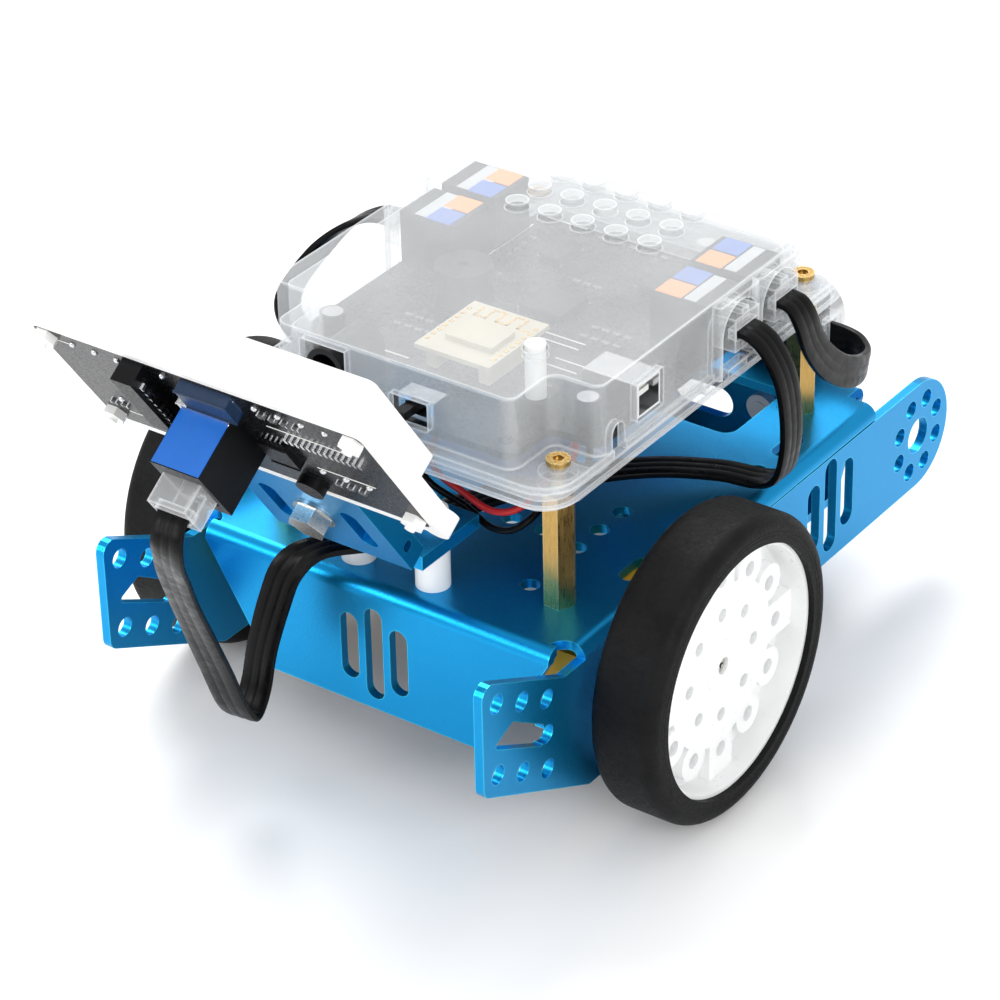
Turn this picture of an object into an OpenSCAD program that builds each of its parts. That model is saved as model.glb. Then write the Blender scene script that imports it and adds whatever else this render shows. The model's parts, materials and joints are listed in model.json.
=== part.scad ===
// Two wheel robot car: folded sheet chassis, two geared wheels, a ball caster,
// a controller in a clear case and an LED panel on a rear bracket.
// Millimetres. +Z up, +Y is the way the car drives, Z = 0 is the floor.

/* [Chassis] */
// Outside width over the two side walls
chassis_w = 92; // [90:1:94]
// Height of the top plate above the floor
chassis_top = 45.5; // [45:0.5:47]
// Sheet thickness
sheet_t = 2; // [2:0.5:2.5]
// Height of the side wall bottom edge
wall_bottom = 17; // [16:0.5:18]
// Distance from the wheel axle to the back of the rear wall
rear_reach = 32; // [31:0.5:33]
// Distance from the wheel axle to the face of the front wall
front_reach = 88.5; // [88:0.5:89]
// Outside radius of the folds
fold_r = 3; // [2.5:0.5:3.5]

/* [Wheels] */
// Tyre diameter
tyre_d = 64; // [62:0.5:66]
// Tyre width
tyre_w = 15; // [14:0.5:15]
// Overall width over the two tyres
track_w = 130; // [130:1:134]
// Drive shaft diameter
shaft_d = 5.4; // [5.2:0.1:5.6]

/* [Case] */
// Length of the brass standoffs
standoff_l = 25; // [24:1:26]
// Distance between the standoffs across the car
standoff_dx = 66; // [64:1:66]
// Distance between the standoffs along the car
standoff_dy = 88; // [88:1:88]
// Width of the tray
tray_w = 79; // [78:1:80]
// Length of the tray
tray_l = 109; // [108:1:110]
// Height of the lid above the tray
lid_h = 17; // [16:0.5:18]

/* [LED panel] */
// Panel width
panel_w = 78; // [76:1:80]
// Panel height along its own slope
panel_h = 38.5; // [38:0.5:40]
// Lean of the panel back from upright
panel_lean = 35; // [33:1:37]

/* [Hidden] */
$fn = 48;

half_w = chassis_w / 2;
axle_z = tyre_d / 2;
// The car without its cables is centred on Y = 0, which puts the axle behind the middle
axle_y = -13.18;

lobe_r = 12.5;
lobe_c = [100, wall_bottom + lobe_r];
ring_r = 8.3;
pitch = 8;
hole_d = 4;
tab_c = [-55, 49];
tab_drop = 4;

wheel_out = track_w / 2;
rim_r = 27.5;
gear_x = [25.2, half_w - sheet_t];

tray_z = chassis_top + standoff_l;
lid_z = tray_z + 4.5;
lid_top = lid_z + lid_h;
stand_x = standoff_dx / 2;
stand_y = [-15.5, -15.5 + standoff_dy];
tray_cy = (stand_y[0] + stand_y[1]) / 2;
board_z = lid_z + 2;
port_y = [36, 50.5];
side_x = 39;

// The panel turns about its lower back edge
panel_foot = [-60, 85.5];
caster_y = 70;
ball_r = 6;
shelf_z = wall_bottom - 1;

red = "#c8201c";
blue = "#0095cc";
brass = "#b08d4c";
black = "#1b1b1d";
white = "#eeeeea";
clear = [0.85, 0.87, 0.88, 0.45];

// Cord routes: x, y, z of a point on the cord, then the way its wide side faces there
panel_route = [
  [-0.8, -85.7, 91.2, 1, 0, 0], [-0.8, -88.4, 89.2, 1, 0, 0], [-0.6, -89.8, 85.8, 1, 0, 0],
  [-2.4, -87.6, 80.5, 1, 0, -0.2], [-5.6, -83, 73.5, 0.9, 0.2, -0.3], [-9.1, -77, 64, 0.9, 0.2, -0.3],
  [-12.6, -69.5, 51.8, 0.9, 0.2, -0.2], [-15.6, -61.5, 37.5, 1, 0.2, 0], [-17.6, -54.8, 24.5, 1, 0.1, 0.2],
  [-18.4, -50.2, 19.4, 1, 0, 0], [-18.6, -46.4, 23.5, 1, 0, -0.1], [-18, -44.4, 32, 1, 0, -0.1],
  [-16.4, -42, 41.5, 1, 0.1, -0.2], [-14.2, -39.6, 49.2, 0.9, 0, -0.3], [-9.6, -35.6, 53.2, 0.8, -0.5, 0],
  [-3, -29.2, 53.8, 0.85, -0.5, 0], [0, -23.5, 53.6, 1, -0.2, 0], [1.5, -14, 52.8, 1, -0.2, 0],
  [6, 2, 51.6, 0.9, -0.4, 0], [14, 17, 50.8, 0.8, -0.6, 0], [24.5, 29.5, 50, 0.7, -0.7, 0],
  [35.5, 37.5, 48.9, 0.4, -0.9, 0], [43.5, 40, 48.4, 0.1, -1, 0], [48.6, 39.8, 51, 0, -1, 0],
  [50.8, 39.2, 57.5, 0, -1, 0], [51.2, 38.8, 65.6, 0, -1, 0], [50.2, 38, 74.5, 0, -1, 0],
  [47.4, 36.8, 81.2, 0, -1, 0], [44.5, 36.1, 83.9, 0, -1, 0], [41.5, 36, 84.4, 0, -1, 0]
];
range_route = [
  [41.5, 50.5, 84.4, 0, 1, 0], [44.6, 50.7, 83.6, 0, 1, 0], [46.2, 51.8, 80, 0, 1, 0.2],
  [46.4, 54.5, 74, 0, 1, 0.5], [46.2, 59.5, 67.5, 0, 0.8, 0.7], [45.8, 66.5, 61.5, 0, 0.7, 0.9],
  [45, 74.5, 57.2, 0, 0.4, 1], [42.6, 82.5, 54.6, 0.1, 0.1, 1], [38, 88.4, 53.5, 0, 0, 1],
  [33.5, 90.2, 53.3, 0, 0, 1], [29, 90.3, 53.3, 0, 0, 1]
];
line_route = [
  [-41.5, 36, 84.4, 0, 1, 0], [-47.5, 35.6, 84, 0, 1, 0], [-53, 33.2, 81, 0, 1, -0.1],
  [-57.5, 28, 75.5, 0, 0.9, -0.5], [-59, 21, 70, 0, 0.9, -0.6], [-55, 15, 67, 0.3, 1, -0.3],
  [-47, 12.5, 63.5, 0, 1, 0], [-39, 13, 56.5, -0.1, 1, 0], [-31, 17, 51.5, -0.5, 0.9, 0],
  [-22.5, 27, 50.3, -0.8, 0.5, 0], [-17.5, 40, 50.3, -1, 0.3, 0], [-15.8, 52, 50.3, -1, 0.1, 0],
  [-15.5, 62, 48.3, -1, 0, 0], [-15.5, 68, 42, -1, 0, 0], [-15.5, 69.5, 36, -1, 0, 0],
  [-15.5, 69.5, 31, -1, 0, 0]
];
red_route = [
  [-4, -0.5, 65], [-3, -7, 64.5], [2, -13, 63.5], [10, -15.3, 62.4], [18.5, -17.2, 61.8],
  [24, -15.5, 63.5], [26, -9, 67], [29.3, -5.3, 71], [29.5, -5, 76.8]
];
black_route = [
  [-8, -0.5, 65], [-7, -7.5, 62.5], [0, -12.6, 60], [10, -14.2, 58.5], [17.8, -16.6, 57.5],
  [24, -17, 59.5], [27, -12.4, 63], [28.8, -7.6, 67], [32.6, -5.3, 71], [33, -5, 76.8]
];
cable_w = 7;
cable_t = 1.6;

// ---------- helpers ----------

// Moves a piece from the axle frame to the car's own frame
module car() translate([0, axle_y, 0]) children();

module both_sides() for (s = [0, 1]) mirror([s, 0, 0]) children();

// Corner points of an outline with every corner rounded to radius r
function fillet(pts, r, n = 5) = [
  for (i = [0:len(pts) - 1])
    let (
      p = pts[i],
      a = pts[(i + len(pts) - 1) % len(pts)],
      b = pts[(i + 1) % len(pts)],
      u = (a - p) / norm(a - p),
      v = (b - p) / norm(b - p),
      half = acos(u * v) / 2,
      c = p + (u + v) / norm(u + v) * r / sin(half),
      s = p + u * r / tan(half) - c,
      e = p + v * r / tan(half) - c,
      a0 = atan2(s[1], s[0]),
      turn = (atan2(e[1], e[0]) - a0 + 540) % 360 - 180
    )
    for (k = [0:n]) c + r * [cos(a0 + turn * k / n), sin(a0 + turn * k / n)]
];

function box_pts(x0, x1, y0, y1) = [[x0, y0], [x1, y0], [x1, y1], [x0, y1]];

module round_box(x, y, z, r) {
  translate([0, 0, z[0]]) linear_extrude(z[1] - z[0])
    polygon(fillet(box_pts(x[0], x[1], y[0], y[1]), r));
}

module block(x, y, z) {
  translate([x[0], y[0], z[0]]) cube([x[1] - x[0], y[1] - y[0], z[1] - z[0]]);
}

module rod(p, r, l) translate(p) cylinder(r = r, h = l);

module rod_x(p, r, l) translate(p) rotate([0, 90, 0]) cylinder(r = r, h = l);

module rod_y(p, r, l) translate(p) rotate([-90, 0, 0]) cylinder(r = r, h = l);

module hex_x(p, across, l) translate(p) rotate([0, 90, 0]) rotate(30)
  cylinder(d = across / cos(30), h = l, $fn = 6);

module slot_2d(l, w) {
  square([l - w, w], center = true);
  for (s = [-1, 1]) translate([s * (l - w) / 2, 0]) circle(d = w);
}

// Plate in the YZ plane whose outline is drawn as [y, z]
module side_plate(x, t) translate([x, 0, 0]) rotate([90, 0, 90]) linear_extrude(t) children();

// Plate in the XZ plane whose outline is drawn as [x, z], its back face at y
module cross_plate(y, t) translate([0, y + t, 0]) rotate([90, 0, 0]) linear_extrude(t) children();

// Decorative cut-out of three upright slots, the middle one taller
module three_slots(w, h) {
  for (k = [-1:1])
    translate([k * w / 3, 0]) rotate(90) slot_2d(k == 0 ? h : h * 0.72, w / 4.2);
}

// Frame of the LED panel: X across, Y up the panel's slope, Z out of its back
module panel_frame_of() {
  translate([0, panel_foot[0], panel_foot[1]]) rotate([90 + panel_lean, 0, 0]) children();
}

// Position and facing parts of a route point
function at(q) = [q[0], q[1], q[2]];
function facing(q) = len(q) > 3 ? [q[3], q[4], q[5]] : [0.31, 0.2, 0.93];

// Unit vector along a route at point i
function along(p, i) =
  let (d = at(p[min(i + 1, len(p) - 1)]) - at(p[max(i - 1, 0)])) d / norm(d);

// A point at t on a smooth curve through the points of a route
function mid(p, i, t) =
  let (
    a = p[max(i - 1, 0)], b = p[i], c = p[i + 1], d = p[min(i + 2, len(p) - 1)]
  )
  0.5 * (2 * b + (c - a) * t + (2 * a - 5 * b + 4 * c - d) * t * t
    + (3 * b - a - 3 * c + d) * t * t * t);

function smooth_route(p, n) = concat(
  [for (i = [0:len(p) - 2]) for (k = [0:n - 1]) mid(p, i, k / n)],
  [p[len(p) - 1]]
);

// Sweeps an eight sided section of half width a and half height b along a route
module swept(route, a, b, n) {
  p = smooth_route(route, n);
  f = 1 / cos(22.5);
  rings = [
    for (i = [0:len(p) - 1])
      let (
        t = along(p, i),
        q = facing(p[i]),
        w0 = q - (q * t) * t,
        w = w0 / norm(w0),
        h = cross(t, w)
      )
      for (k = [0:7]) at(p[i]) + f * a * cos(45 * k + 22.5) * w + f * b * sin(45 * k + 22.5) * h
  ];
  last = len(p) - 1;
  sides = [
    for (i = [0:last - 1]) for (k = [0:7]) for (h = [0, 1])
      h == 0
        ? [i * 8 + k, i * 8 + (k + 1) % 8, (i + 1) * 8 + (k + 1) % 8]
        : [i * 8 + k, (i + 1) * 8 + (k + 1) % 8, (i + 1) * 8 + k]
  ];
  ends = [[for (k = [7:-1:0]) k], [for (k = [0:7]) last * 8 + k]];
  polyhedron(rings, concat(sides, ends), convexity = 6);
}

// ---------- chassis ----------

module side_outline() {
  tab_top = tab_c[1] + 4.5;
  tab_low = tab_c[1] - 21;
  tab_end = tab_c[0] - 4.5;
  difference() {
    union() {
      polygon(fillet([
        [tab_end, tab_top + 2.25], [-33, tab_top - 11], [-27, chassis_top - fold_r],
        [lobe_c[0], wall_bottom + 2 * lobe_r], [lobe_c[0] + 0.1, wall_bottom],
        [34, wall_bottom], [28, wall_bottom - 4], [-25, wall_bottom - 4],
        [tab_end, tab_low + 2.25]
      ], 2.5));
      translate(lobe_c) circle(r = lobe_r);
      translate([60, wall_bottom]) square([40, 2 * lobe_r]);
    }
    for (i = [0:2]) for (j = [0, 2])
      translate([tab_c[0] + pitch * i, tab_c[1] - tab_drop * i - pitch * j]) circle(d = hole_d);
    tab_slot();
    translate(lobe_c) circle(d = 8);
    for (k = [0:7]) translate(lobe_c + ring_r * [cos(45 * k + 22.5), sin(45 * k + 22.5)]) circle(d = hole_d);
    translate([0, axle_z]) circle(r = 4);
    for (s = [-1, 1]) translate([20.5, axle_z + s * 8.75]) circle(r = 1.6);
    translate([64, 30.5]) three_slots(20, 22);
  }
}

// The tab's middle opening: flat below, slanted at its free end, round at the other
module tab_slot() {
  z = tab_c[1] - pitch;
  polygon(fillet([
    [tab_c[0] - 1.5, z - 2.2 + 0.75], [tab_c[0] + 5, z + 1.2],
    [tab_c[0] + 15, z - 5.2], [tab_c[0] + 15, z - 10.2]
  ], 0.8));
  translate([tab_c[0] + 16, z - 8]) circle(d = hole_d);
}

module top_outline() {
  difference() {
    union() {
      translate([-half_w + fold_r, fold_r - rear_reach])
        square([chassis_w - 2 * fold_r, 82 - fold_r + rear_reach]);
      translate([-side_x, 80]) square([2 * side_x, front_reach - fold_r - 80]);
    }
    for (x = [-1, 1]) for (y = stand_y) translate([x * stand_x, y]) circle(d = 4.2);
    for (x = [-1, 1]) {
      translate([x * (half_w - 2.5), -29.5]) circle(r = 3.6);
      translate([x * 9, -24]) circle(d = hole_d);
      for (k = [0:4]) translate([x * 39, 2 + 14 * k]) rotate(90) slot_2d(9, hole_d);
      for (k = [0:4]) translate([x * 25, -14 + pitch * k]) circle(d = hole_d);
    }
    polygon(fillet(box_pts(-27, -5, 55, 77), 3));
    polygon(fillet(box_pts(5, 27, 55, 77), 3));
    for (k = [-2:2]) translate([pitch * k, 4]) circle(d = hole_d);
    translate([0, 30]) slot_2d(24, hole_d);
  }
}

module fold_profile() {
  difference() {
    circle(r = fold_r);
    circle(r = fold_r - sheet_t);
    translate([-fold_r, -2 * fold_r]) square([3 * fold_r, 2 * fold_r]);
    translate([-2 * fold_r, -fold_r]) square([2 * fold_r, 3 * fold_r]);
  }
}

module chassis() color(blue) car() {
  top_in = chassis_top - fold_r;
  both_sides() {
    side_plate(half_w - sheet_t, sheet_t) side_outline();
    translate([half_w - fold_r, 82, top_in]) rotate([90, 0, 0]) linear_extrude(108) fold_profile();
  }
  translate([0, 0, chassis_top - sheet_t]) linear_extrude(sheet_t) top_outline();
  // rear fold and rear wall
  translate([41.5, fold_r - rear_reach, top_in]) rotate([90, 0, -90]) linear_extrude(83) fold_profile();
  cross_plate(-rear_reach, sheet_t) difference() {
    polygon([
      [-41.5, top_in], [-27.5, 19], [-25.5, wall_bottom], [25.5, wall_bottom], [27.5, 19], [41.5, top_in]
    ]);
    translate([0, 30]) three_slots(18, 21);
  }
  // front fold, front wall and the shelf behind its foot
  translate([-side_x, front_reach - fold_r, top_in]) rotate([90, 0, 90]) linear_extrude(2 * side_x) fold_profile();
  cross_plate(front_reach - sheet_t, sheet_t) difference() {
    polygon([[-side_x, top_in], [-34, shelf_z + fold_r], [34, shelf_z + fold_r], [side_x, top_in]]);
    for (x = [-1, 1]) translate([16 * x, 34]) circle(d = hole_d);
    translate([0, 31]) slot_2d(16, 7);
  }
  translate([34, front_reach - fold_r, shelf_z + fold_r]) rotate([-90, 0, 90]) linear_extrude(68) fold_profile();
  translate([0, 0, shelf_z]) linear_extrude(sheet_t) difference() {
    polygon(fillet(box_pts(-34, 34, 56, front_reach - fold_r), 0.5));
    polygon(box_pts(-24, -7.6, 61, 78));
    for (s = [-1, 1]) translate([0, caster_y + 10.2 * s]) circle(r = 1.6);
    for (x = [-1, 1]) translate([20 * x, 81.5]) circle(r = 1.6);
    for (x = [14, 26]) for (y = [62, 70]) translate([x, y]) circle(d = hole_d);
  }
}

// ---------- drive ----------

module gearbox() {
  difference() {
    union() {
      block(gear_x, [-11.3, 25.7], [axle_z - 11.25, axle_z + 11.25]);
      block([32, 37.2], [-16.3, -11.3], [axle_z - 2.5, axle_z + 2.5]);
      rod_x([gear_x[1], 0, axle_z], 3.8, sheet_t - 0.2);
    }
    rod_x([20, 0, axle_z], shaft_d / 2 + 0.06, 40);
    for (s = [-1, 1]) rod_x([20, 20.5, axle_z + s * 8.75], 1.6, 40);
    rod_x([30, -14, axle_z], 1.4, 10);
    // relief along the edge that lies in the fold of the sheet
    block([43.2, 44.1], [-12, 26], [42.4, 44]);
    // seam between the two halves of the moulding
    difference() {
      block([34.4, 34.8], [-12, 26], [20, 44]);
      block([34, 35], [-10.9, 25.3], [axle_z - 10.85, axle_z + 10.85]);
      block([32, 37.2], [-17, -10], [axle_z - 3, axle_z + 3]);
    }
  }
}

module gearbox_left() color("gold") car() mirror([1, 0, 0]) gearbox();
module gearbox_right() color("gold") car() gearbox();

module motor() {
  intersection() {
    rod_y([34.6, 25.7, axle_z], 10.2, 22.3);
    block([27, 42.2], [25, 60], [axle_z - 11, axle_z + 11]);
  }
  rod_y([34.6, 48, axle_z], 3.1, 1.4);
}

module motor_left() color("silver") car() mirror([1, 0, 0]) motor();
module motor_right() color("silver") car() motor();

module motor_caps() color(white) car() both_sides() difference() {
  intersection() {
    rod_y([34.6, 48, axle_z], 9.6, 4);
    block([27.4, 41.8], [47, 60], [axle_z - 11, axle_z + 11]);
  }
  rod_y([34.6, 47, axle_z], 3.15, 2.5);
}

module motor_terminals() color("goldenrod") car() both_sides() for (s = [-1, 1])
  block([34.2, 35], [52, 56], [axle_z + 5.5 * s - 1.2, axle_z + 5.5 * s + 1.2]);

module motor_screws() color("silver") car() both_sides() for (s = [-1, 1]) {
  difference() {
    union() {
      rod_x([21.5, 20.5, axle_z + s * 8.75], 1.5, half_w - 21.5);
      rod_x([half_w, 20.5, axle_z + s * 8.75], 2.8, 1.8);
    }
    hex_x([half_w + 0.8, 20.5, axle_z + s * 8.75], 2, 2);
  }
}

module motor_nuts() color("silver") car() both_sides() for (s = [-1, 1]) difference() {
  hex_x([gear_x[0] - 2.4, 20.5, axle_z + s * 8.75], 5.2, 2.4);
  rod_x([20, 20.5, axle_z + s * 8.75], 1.55, 10);
}

module shaft() {
  difference() {
    rod_x([24.4, 0, axle_z], shaft_d / 2, 33);
    rod_x([52, 0, axle_z], 0.9, 6);
  }
}

module shaft_left() color(white) car() mirror([1, 0, 0]) shaft();
module shaft_right() color(white) car() shaft();

// Wheel turned about X with its centre on the axle: rim, web, raised star and boss
module wheel() {
  x0 = wheel_out - tyre_w + 1.3;
  x1 = wheel_out - 1.3;
  face = wheel_out - 4.8;
  translate([0, 0, axle_z]) rotate([90, 0, 90]) {
    difference() {
      union() {
        translate([0, 0, x0]) difference() {
          cylinder(r = rim_r, h = x1 - x0);
          translate([0, 0, -1]) cylinder(r = rim_r - 2, h = x1 - x0 + 2);
        }
        translate([0, 0, face - 5]) cylinder(r = rim_r - 1, h = 2.4);
        translate([0, 0, face - 5]) linear_extrude(5) star();
        translate([0, 0, wheel_out - 15.3]) cylinder(r = 5.5, h = 10.9);
      }
      translate([0, 0, wheel_out - 16]) cylinder(d = shaft_d, h = 8.4);
      cylinder(r = 1.1, h = 80);
      translate([0, 0, face - 1.6]) cylinder(r = 1.8, h = 4);
      for (k = [0:11]) rotate(30 * k) translate([19.6, 0, face - 6]) cylinder(r = 1.6, h = 8);
      for (k = [0:7]) rotate(45 * k) translate([11.5, 0, face - 6]) cylinder(r = 1.4, h = 8);
    }
  }
}

// Star of twelve lobes, every third one reaching the rim as a spoke
module star() {
  circle(r = 17.5);
  for (k = [0:11]) rotate(30 * k) {
    translate([19.6, 0]) circle(r = 4.1);
    if (k % 3 == 0) translate([15, -4.1]) square([11, 8.2]);
  }
}

module wheel_left() color(white) car() mirror([1, 0, 0]) wheel();
module wheel_right() color(white) car() wheel();

module tyre() {
  x0 = wheel_out - tyre_w;
  r = tyre_d / 2;
  s = 3;
  translate([0, 0, axle_z]) rotate([90, 0, 90]) rotate_extrude($fn = 96) difference() {
    union() {
      translate([26.3, x0]) square([r - s - 26.3, tyre_w]);
      translate([r - s - 1, x0 + s]) square([s + 1, tyre_w - 2 * s]);
      for (e = [x0 + s, x0 + tyre_w - s]) translate([r - s, e]) circle(r = s);
    }
    translate([20, x0 + 1.3]) square([rim_r - 19.96, tyre_w - 2.6]);
  }
}

module tyre_left() color(black) car() mirror([1, 0, 0]) tyre();
module tyre_right() color(black) car() tyre();

module hub_screw() {
  face = wheel_out - 4.8;
  difference() {
    union() {
      rod_x([52.5, 0, axle_z], 0.9, face - 54);
      rod_x([face - 1.6, 0, axle_z], 1.55, 1.3);
    }
    for (a = [0, 90]) translate([face - 1, 0, axle_z]) rotate([a, 0, 0]) cube([2, 1.9, 0.5], center = true);
  }
}

module hub_screw_left() color("silver") car() mirror([1, 0, 0]) hub_screw();
module hub_screw_right() color("silver") car() hub_screw();

// ---------- caster ----------

module caster_housing() color(black) car() difference() {
  union() {
    rod([0, caster_y, 4.4], 7.2, shelf_z - 6.4);
    translate([0, caster_y, shelf_z - 2]) linear_extrude(2) rotate(90) slot_2d(26, 13);
  }
  translate([0, caster_y, ball_r]) sphere(r = ball_r + 0.08);
  rod([0, caster_y, 2], ball_r - 0.1, ball_r - 2);
  for (s = [-1, 1]) rod([0, caster_y + 10.2 * s, shelf_z - 3], 1.6, 4);
}

module caster_ball() color("silver") car() translate([0, caster_y, ball_r]) sphere(r = ball_r);

module caster_screws() color("silver") car() for (s = [-1, 1]) {
  rod([0, caster_y + 10.2 * s, shelf_z - 2], 1.5, 4);
  rod([0, caster_y + 10.2 * s, shelf_z + sheet_t], 2.6, 1.7);
  rod([0, caster_y + 10.2 * s, shelf_z - 4], 2.6, 2);
}

// ---------- line sensor under the nose ----------

module line_board() color(blue) car() translate([0, 0, shelf_z - 3.6]) linear_extrude(1.6) difference() {
  polygon(fillet(box_pts(-24, 24, 59, 85), 2));
  translate([0, caster_y]) circle(r = 8.4);
  for (s = [-1, 1]) translate([0, caster_y + 10.2 * s]) circle(r = 3);
  for (x = [-1, 1]) translate([20 * x, 81.5]) circle(r = 1.6);
}

module line_sensors() color(black) car() for (s = [-1, 1]) difference() {
  block([s * 15 - 4, s * 15 + 4], [68, 78], [shelf_z - 8.6, shelf_z - 3.6]);
  for (k = [-1, 1]) rod([s * 15, 73 + 2.4 * k, shelf_z - 10], 1.6, 4);
}

// Six-way socket: an open box standing on z = 0 whose mouth faces +X
module socket_box(l, w, h) {
  difference() {
    translate([-l, -w / 2, 0]) cube([l, w, h]);
    translate([1.5 - l, -w / 2 + 1.5, 1.8]) cube([l, w - 3, h - 3.6]);
    translate([-4, -1.6, h - 3]) cube([5, 3.2, 2.2]);
  }
}

module line_socket() color(black) car() translate([-15.5, 69.5, shelf_z + 11.2]) rotate([0, -90, 90])
  translate([0, 0, -6.5]) socket_box(13.2, 14, 13);

module line_spacers() color(white) car() for (x = [-1, 1]) {
  difference() {
    rod([20 * x, 81.5, shelf_z - 2], 3, 2);
    rod([20 * x, 81.5, shelf_z - 3], 1.5, 4);
  }
  rod([20 * x, 81.5, shelf_z - 6], 1.4, 9.7);
  rod([20 * x, 81.5, shelf_z - 5.6], 2.6, 2);
  rod([20 * x, 81.5, shelf_z + sheet_t], 2.6, 1.7);
}

// ---------- distance sensor on the front wall ----------

module range_board() color(blue) car() cross_plate(front_reach + 8, 1.6) difference() {
  polygon(fillet(box_pts(-24.5, 24.5, 28, 60), 2.5));
  for (x = [-1, 1]) translate([16 * x, 34]) circle(r = 1.9);
  for (x = [-1, 1]) translate([20.5 * x, 56.5]) circle(r = 1.8);
}

module range_eyes() color("silver") car() for (x = [-1, 1]) difference() {
  rod_y([13.5 * x, front_reach + 9.6, 46.5], 8, 12);
  rod_y([13.5 * x, front_reach + 20.4, 46.5], 6.6, 2);
}

module range_socket() color(black) car() translate([25.5, front_reach + 8, 53.3]) rotate([90, 0, 0])
  socket_box(15, 13.2, 12.5);

module range_spacers() color(white) car() for (x = [-1, 1]) {
  difference() {
    rod_y([16 * x, front_reach, 34], 3.5, 8);
    rod_y([16 * x, front_reach - 1, 34], 1.8, 10);
  }
  rod_y([16 * x, front_reach - 4.5, 34], 1.75, 17);
  rod_y([16 * x, front_reach - 4.2, 34], 3.3, 2.2);
  rod_y([16 * x, front_reach + 9.6, 34], 3.3, 2.2);
}

// ---------- controller case ----------

module standoffs() color(brass) car() for (x = [-1, 1]) for (y = stand_y) difference() {
  translate([x * stand_x, y, chassis_top]) cylinder(d = 6 / cos(30), h = standoff_l, $fn = 6);
  rod([x * stand_x, y, chassis_top - 1], 1.5, standoff_l + 2);
}

module case_screws() color(brass) car() for (x = [-1, 1]) for (y = stand_y) {
  rod([x * stand_x, y, tray_z - 6], 1.45, 12.1);
  difference() {
    rod([x * stand_x, y, tray_z + 6], 2.4, 1.1);
    rod([x * stand_x, y, tray_z + 6.4], 1.1, 1);
  }
  rod([x * stand_x, y, chassis_top - sheet_t - 1.6], 2.8, 1.6);
  rod([x * stand_x, y, chassis_top - sheet_t], 1.45, 7);
}

module case_tray() color(clear) car() {
  y0 = tray_cy - tray_l / 2;
  y1 = tray_cy + tray_l / 2;
  w = tray_w / 2;
  difference() {
    union() {
      round_box([-w + 1.5, w - 1.5], [y0 + 1.5, y1 - 1.5], [tray_z, tray_z + 1.6], 6.5);
      round_box([-w, w], [y0, y1], [tray_z + 1.2, lid_z], 8);
    }
    round_box([-w + 2, w - 2], [y0 + 2, y1 - 2], [tray_z + 1.8, lid_z + 1], 6);
    for (x = [-1, 1]) for (y = stand_y) rod([x * stand_x, y, tray_z - 1], 1.7, 8);
    round_box([27, 36], [-8, -2], [tray_z - 1, tray_z + 3], 2);
    round_box([-7, 7], [62, 68], [tray_z - 1, tray_z + 3], 2);
    for (y = [30, 45, 60]) round_box([w - 3, w + 1], [y - 4, y + 4], [tray_z + 2.6, lid_z + 1], 0.5);
  }
  // collars that carry the lid at the four screws
  for (x = [-1, 1]) for (y = stand_y) difference() {
    rod([x * stand_x, y, tray_z + 1.8], 4, 2.7);
    rod([x * stand_x, y, tray_z], 1.7, 8);
  }
}

// Outline of the lid's raised part: full width in the middle, narrower tongue at the back
function lid_pts(inset) = fillet([
  [-28 + inset, -23 + inset], [28 - inset, -23 + inset], [28 - inset, -10 + inset],
  [side_x - inset, -10 + inset], [side_x - inset, 61 - inset], [inset - side_x, 61 - inset],
  [inset - side_x, -10 + inset], [-28 + inset, -10 + inset]
], 2.5);

module port_arch(w, h) {
  square([w, 2 * (h - w / 2)], center = true);
  translate([0, h - w / 2]) circle(r = w / 2);
}

module case_lid() color(clear) car() {
  y0 = tray_cy - tray_l / 2;
  y1 = tray_cy + tray_l / 2;
  difference() {
    union() {
      round_box([-tray_w / 2, tray_w / 2], [y0, y1], [lid_z, lid_z + 1.5], 8);
      translate([0, 0, lid_z]) linear_extrude(lid_h) polygon(lid_pts(0));
      round_box([-28, 28], [58, 81], [lid_z, lid_z + 7.2], 2.5);
      for (y = port_y) for (s = [-1, 1])
        round_box([s * 39.2 - 1.8, s * 39.2 + 1.8], [y - 7.2, y + 7.2], [lid_z, lid_top - 0.6], 1);
      for (i = [-2:2]) for (j = [0:2])
        rod([pitch * i, 41.5 + pitch * j, lid_top], 2.45, 1.7);
    }
    translate([0, 0, lid_z - 1]) linear_extrude(lid_h - 0.6) polygon(lid_pts(1.6));
    round_box([-26.4, 26.4], [56, 79.4], [lid_z - 1, lid_z + 5.6], 1.5);
    for (x = [-1, 1]) for (y = stand_y) rod([x * stand_x, y, lid_z - 1], 1.7, 8);
    for (y = port_y) for (s = [-1, 1]) translate([s * 36, y, lid_z + 2]) rotate([90, 0, 90 * s])
      translate([0, 1, -1]) linear_extrude(7) port_arch(12.6, 12.2);
    block([36, 45], [2.6, 11.4], [board_z + 1.3, board_z + 9.4]);
    translate([36, -4, lid_z + 1]) rotate([90, 0, 90]) linear_extrude(5) port_arch(4, 5.5);
    block([-22, -11.4], [-26, -20], [board_z + 1.6, board_z + 13]);
    block([-1, 8], [-26, -20], [board_z + 1.6, board_z + 7.6]);
    rod([20, -4, lid_top - 4], 2.4, 8);
  }
}

// ---------- board and what stands on it ----------

module main_board() color("#202024") car() translate([0, 0, board_z]) linear_extrude(1.6) difference() {
  polygon(fillet([
    [-26, -21], [26, -21], [26, -8.3], [37.2, -8.3], [37.2, 59], [26, 59], [26, 77.5], [-26, 77.5],
    [-26, 59], [-37.2, 59], [-37.2, -8.3], [-26, -8.3]
  ], 2.4));
  for (x = [-1, 1]) for (y = [-17, 73]) translate([22 * x, y]) circle(r = 1.6);
}

module board_sockets() color(black) car() for (s = [0, 1]) mirror([s, 0, 0]) for (y = port_y)
  translate([37.2, y, board_z + 1.6]) socket_box(13.5, 12, 11.6);

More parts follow.
